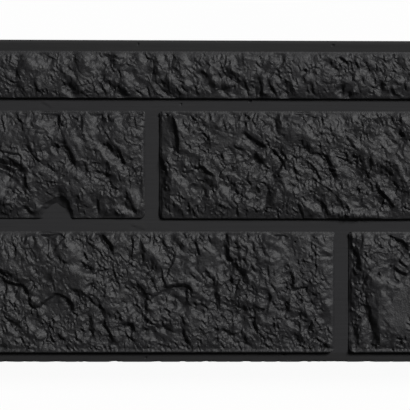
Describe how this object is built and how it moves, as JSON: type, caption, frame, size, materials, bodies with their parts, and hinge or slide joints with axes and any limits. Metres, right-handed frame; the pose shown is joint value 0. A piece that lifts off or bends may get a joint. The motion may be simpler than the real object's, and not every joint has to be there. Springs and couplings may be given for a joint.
{
  "type": "concrete gravel board",
  "caption": "Long flat concrete fence base board with a plain back, a face of raised rock-cut stones in staggered courses, flush joints, and plain end tongues for slotted posts.",
  "frame": {"origin": "centre of the plain back face, which the board lies on", "axes": "+X along the board, +Y up the board as it stands in a fence, towards the low top course, +Z out of the rock face"},
  "size_m": [1.84, 0.36, 0.048],
  "materials": {
    "anthracite_concrete": "cast concrete with an anthracite satin coating"
  },
  "bodies": {
    "root": {"gravel_board": "anthracite_concrete"}
  },
  "joints": []
}
